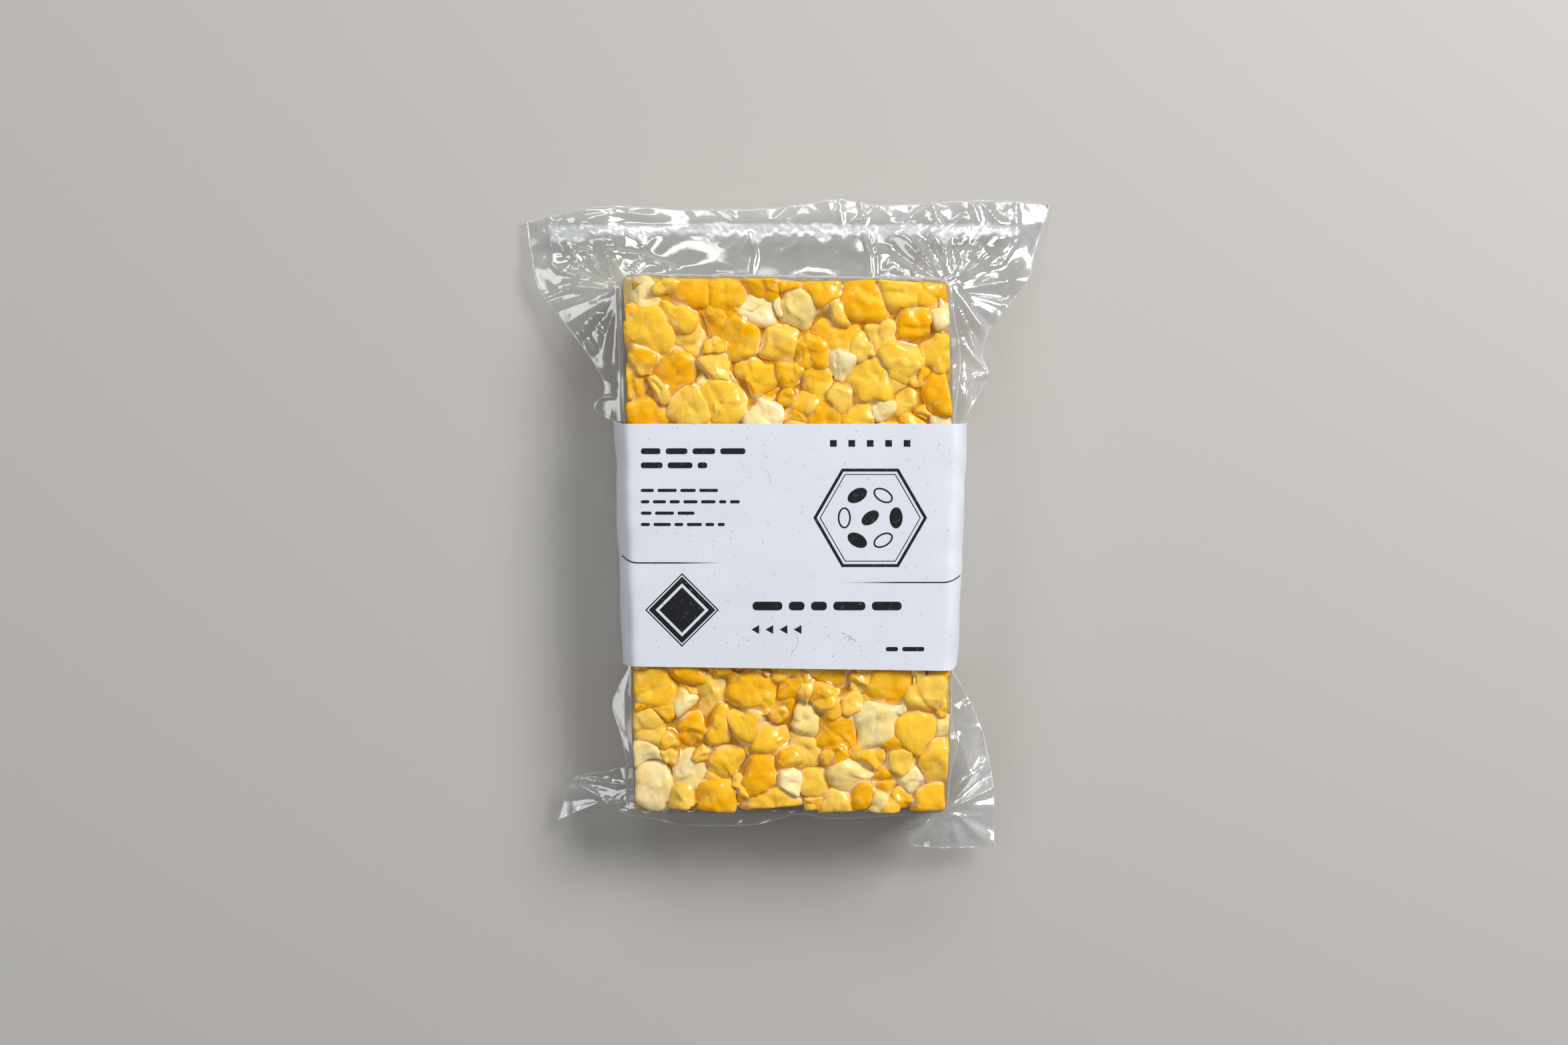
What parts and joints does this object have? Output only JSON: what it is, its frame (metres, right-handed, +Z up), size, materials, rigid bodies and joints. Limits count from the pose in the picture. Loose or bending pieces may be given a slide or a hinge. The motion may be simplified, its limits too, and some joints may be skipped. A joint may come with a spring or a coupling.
{
  "type": "vacuum packed tempeh cake",
  "caption": "Flat block of pressed golden and cream bean tempeh, vacuum packed in a clear pouch with wide crinkled margins, held by a white paper sleeve round its middle.",
  "frame": {"origin": "under the middle of the block, in the plane of the sleeve's flat underside", "axes": "+X across the block, +Y along it towards the wide margin of the pouch, +Z up through its thickness"},
  "size_m": [0.1382, 0.1696, 0.0244],
  "materials": {
    "tempeh": "pressed golden yellow and cream beans, moist and smooth under the film",
    "clear_film": "clear glossy vacuum film, crinkled, with a milky heat seal",
    "sleeve_paper": "smooth cool white paper with plain black print"
  },
  "bodies": {
    "root": {"tempeh_cake": "tempeh", "pouch_margin": "clear_film", "paper_sleeve": "sleeve_paper"}
  },
  "joints": []
}
